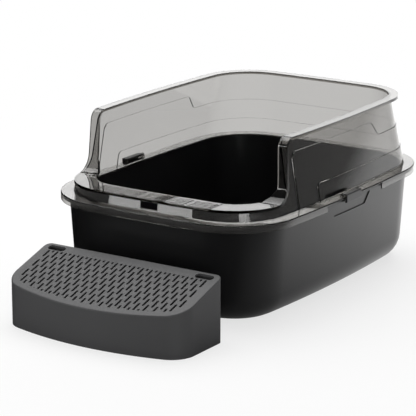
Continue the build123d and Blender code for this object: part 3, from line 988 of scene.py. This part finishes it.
class MakeStep(bpy.types.Operator):
    """Builds the slotted entry step"""

    bl_idname = "litter_box.step"
    bl_label = "Step"

    def plan(self, p, inset):
        """Plan points of the step, moved in by inset, the same count for every inset."""
        half_x = STEP_HALF_X
        bow_radius = (half_x**2 + p.front_bow**2) / (2 * p.front_bow)
        bow_y = STEP_LOW.y + bow_radius
        r = p.front_radius
        off_x = half_x - r
        corner_y = bow_y - sqrt((bow_radius - r) ** 2 - off_x**2)
        turn = asin(off_x / (bow_radius - r))
        rear = p.rear_radius
        back = half_x - rear
        rear_y = STEP_HIGH.y - rear
        span = rear_y - corner_y
        half = arc((0, bow_y), bow_radius - inset, -pi / 2, -pi / 2 + turn, 20)[:-1]
        half += arc((off_x, corner_y), r - inset, -pi / 2 + turn, 0, 14)
        half += [(half_x - inset, corner_y + span * k / 6) for k in range(1, 6)]
        half += arc((back, rear_y), rear - inset, 0, pi / 2, 8)
        half += [(back * (1 - k / 16), STEP_HIGH.y - inset) for k in range(1, 17)]
        full = half + [(-x, y) for x, y in reversed(half[1:-1])]
        return [(STEP_MIDDLE_X + x, y) for x, y in full]

    def ring(self, p, inset, drop):
        """Ring under the sloped top, lowered by drop."""
        lean = tan(p.slope)
        return [Vector((x, y, p.back_z - (STEP_HIGH.y - y) * lean - drop)) for x, y in self.plan(p, inset)]

    def foot(self, p, inset):
        """Ring on the floor."""
        return [Vector((x, y, 0)) for x, y in self.plan(p, inset)]

    def slots(self, p):
        """All slots as one tool, trimmed by the border and kept off the corner holes."""
        depth = STEP_HIGH.y - STEP_LOW.y
        back_y = STEP_HIGH.y - (p.hole_inset_y + p.hole_width / 2 + HOLE_MARGIN)
        w, h, c = p.slot_width / 2, p.slot_length / 2, p.slot_corner
        plan = [(w, h - c), (w - c, h), (c - w, h), (-w, h - c)]
        plan += [(-x, -y) for x, y in plan]
        first = prism("slot", plan, "Z", 20 * MM, 160 * MM)
        columns = int((STEP_HALF_X - p.margin) / p.column_pitch)
        rows = int(depth / p.row_pitch) + 2
        made = []
        for column in range(-columns, columns + 1):
            x = STEP_MIDDLE_X + column * p.column_pitch
            shift = p.row_pitch / 2 if column % 2 else 0
            for row in range(rows):
                y = back_y - h - row * p.row_pitch + shift
                if y - h < back_y and y + h > STEP_LOW.y + p.margin:
                    made.append(copy_to(first, Vector((x, y, 0))))
        bpy.data.objects.remove(first)
        field = prism("field", self.plan(p, p.margin), "Z", 30 * MM, 150 * MM)
        far_y = STEP_HIGH.y + PAST_STEP
        band = [(-PAST_STEP, back_y), (PAST_STEP, back_y), (PAST_STEP, far_y), (-PAST_STEP, far_y)]
        combine(field, prism("keep off", band, "Z", 0, 200 * MM), "DIFFERENCE")
        return combine(join("slots", made), field, "INTERSECT")

    def execute(self, context):
        p = context.scene.litter_box_step
        thick = p.wall / cos(p.slope)
        r = p.edge
        turns = [pi / 2 * k / 4 for k in range(5)]
        rings = [self.ring(p, p.wall + ROOF_INSET, thick), self.ring(p, p.wall, thick + ROOF_DROP)]
        rings += [self.foot(p, p.wall), self.foot(p, 0)]
        rings += [self.ring(p, r - r * cos(a), r - r * sin(a)) for a in turns]
        step = sweep("step", rings, False)
        w = p.hole_width / 2
        reach = p.hole_length / 2 - w
        y = STEP_HIGH.y - p.hole_inset_y
        for side in (-1, 1):
            x = STEP_MIDDLE_X + side * (STEP_HALF_X - p.hole_inset_x)
            plan = arc((x + reach, y), w, -pi / 2, pi / 2, 12)
            plan += arc((x - reach, y), w, pi / 2, 3 * pi / 2, 12)
            combine(step, prism("hole", plan, "Z", 40 * MM, 160 * MM), "DIFFERENCE")
        combine(step, self.slots(p), "DIFFERENCE")
        tone = context.scene.litter_box_colours.step
        grey = moulded_plastic(
            "step grey", tone, roughness=0.5, grain=0.35, grain_size=0.9 * MM, wear=0.08
        )
        finish_piece(step, "step", "step", grey)
        return {"FINISHED"}


class MakeStage(bpy.types.Operator):
    """Sets up the floor, the soft lights and the camera"""

    bl_idname = "litter_box.stage"
    bl_label = "Stage"

    def add_light(self, name, place, aim, width, height, power):
        """Adds a soft panel of light that faces a point."""
        deselect()
        bpy.ops.object.light_add(type="AREA", location=place)
        light = bpy.context.object
        light.name = name
        light.data.shape = "RECTANGLE"
        light.data.size = width
        light.data.size_y = height
        light.data.energy = power
        light.rotation_mode = "QUATERNION"
        light.rotation_quaternion = (Vector(aim) - Vector(place)).to_track_quat("-Z", "Y")

    def floor(self, stage, colours):
        """Pale floor with the object's shadow, plain white far off, and a painted glow that only
        reflections see.
        """
        deselect()
        bpy.ops.mesh.primitive_circle_add(vertices=96, radius=stage.floor_radius, fill_type="NGON")
        floor = bpy.context.object
        floor.name = floor.data.name = "floor"
        material, nodes = new_material("pale floor")
        camera, through, mirrored = nodes.rays()
        place = nodes.place()
        far = nodes.add("ShaderNodeVectorMath", {"operation": "LENGTH"}, {0: place}, output="Value")
        away = nodes.ramp(far, WHITE_NEAR, WHITE_FAR, stage.white_share, 1.0)
        grain = nodes.add("ShaderNodeTexNoise", {}, {"Vector": place, "Scale": 30.0, "Detail": 2.0})
        lit = nodes.add(
            "ShaderNodeBsdfPrincipled",
            {},
            {"Base Color": (*colours.floor, 1), "Roughness": 0.75 + 0.1 * grain, "IOR": 1.4},
        )
        share = camera.highest(through) * away
        mixed = nodes.add("ShaderNodeMixShader", {}, {0: share, 1: lit, 2: nodes.glow(1.0)})
        # Reflected rays see painted light here instead of the lit floor: a glow brightest towards the back
        # right and fading off, a painted reflection
        side = nodes.along(place, PAINTED_GLOW_WAY)
        painted_glow = nodes.ramp(side, PAINTED_GLOW_START, PAINTED_GLOW_END, 0.0, stage.painted_floor_glow, smooth=False)
        fade = nodes.ramp(nodes.along(place, FADE_WAY), FADE_START, FADE_END, 1.0, FADED)
        mixed = nodes.add("ShaderNodeMixShader", {}, {0: mirrored, 1: mixed, 2: nodes.glow(painted_glow * fade)})
        nodes.add("ShaderNodeOutputMaterial", {}, {"Surface": mixed})
        floor.data.materials.append(material)

    def world(self, stage):
        """White to the camera, with a darker ceiling seen through and mirrored in the plastic."""
        world = bpy.data.worlds.new("studio")
        bpy.context.scene.world = world
        world.use_nodes = True
        nodes = Nodes(world.node_tree)
        camera, through, mirrored = nodes.rays()
        height = nodes.add("ShaderNodeSeparateXYZ", {}, {0: nodes.place("Generated")}, output="Z")
        horizon = nodes.ramp(height, CEILING_START, CEILING_END, 1.0, stage.ceiling)
        rest = 1 - camera - through - mirrored
        strength = camera + through * horizon + mirrored * stage.mirrored_sky + rest * stage.sky
        sky = nodes.add("ShaderNodeBackground", {}, {"Color": (1, 1, 1, 1), "Strength": strength})
        nodes.add("ShaderNodeOutputWorld", {}, {"Surface": sky})

    def camera(self):
        """Camera with a long lens, placed as the photograph's was."""
        deselect()
        bpy.ops.object.camera_add(location=CAMERA_PLACE)
        camera = bpy.context.object
        camera.name = "camera"
        camera.data.sensor_width = CAMERA_SENSOR
        camera.data.lens = CAMERA_LENS
        camera.data.clip_start = 0.1
        camera.data.clip_end = 50
        a, e = radians(CAMERA_AZIMUTH), radians(CAMERA_ELEVATION)
        back = Vector((sin(a) * cos(e), -cos(a) * cos(e), sin(e)))
        camera.rotation_mode = "QUATERNION"
        camera.rotation_quaternion = (-back).to_track_quat("-Z", "Y")
        bpy.context.scene.camera = camera

    def execute(self, context):
        stage = context.scene.litter_box_stage
        self.floor(stage, context.scene.litter_box_colours)
        self.world(stage)
        for name, setting, *panel in LIGHTS:
            self.add_light(name, *panel, getattr(stage, setting))
        self.camera()
        context.scene.view_settings.view_transform = "Standard"
        return {"FINISHED"}


class LitterBoxPanel(bpy.types.Panel):
    """Lists the litter box's pieces"""

    bl_idname = "VIEW3D_PT_litter_box"
    bl_label = "Litter Box"
    bl_space_type = "VIEW_3D"
    bl_region_type = "UI"
    bl_category = "Litter Box"

    def draw(self, context):
        for operator in PIECES:
            self.layout.operator(operator.bl_idname)
        for name, group in GROUPS.items():
            box = self.layout.box()
            box.label(text=group.__name__)
            for key in group.__annotations__:
                box.prop(getattr(context.scene, name), key)


PIECES = (MakeTray, MakeShroud, MakeLatches, MakeStep, MakeStage)


def register():
    """Registers the classes and gives each group of sizes a place in the scene."""
    for cls in (*GROUPS.values(), *PIECES, LitterBoxPanel):
        bpy.utils.register_class(cls)
    for name, group in GROUPS.items():
        setattr(bpy.types.Scene, name, bpy.props.PointerProperty(type=group))


def unregister():
    """Takes away what register added."""
    for name in GROUPS:
        delattr(bpy.types.Scene, name)
    for cls in reversed((*GROUPS.values(), *PIECES, LitterBoxPanel)):
        bpy.utils.unregister_class(cls)


def main():
    """Builds all pieces and the stage."""
    register()
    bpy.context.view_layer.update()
    bpy.ops.litter_box.tray()
    bpy.ops.litter_box.shroud()
    bpy.ops.litter_box.latches()
    bpy.ops.litter_box.step()
    bpy.ops.litter_box.stage()


if __name__ == "__main__":
    main()
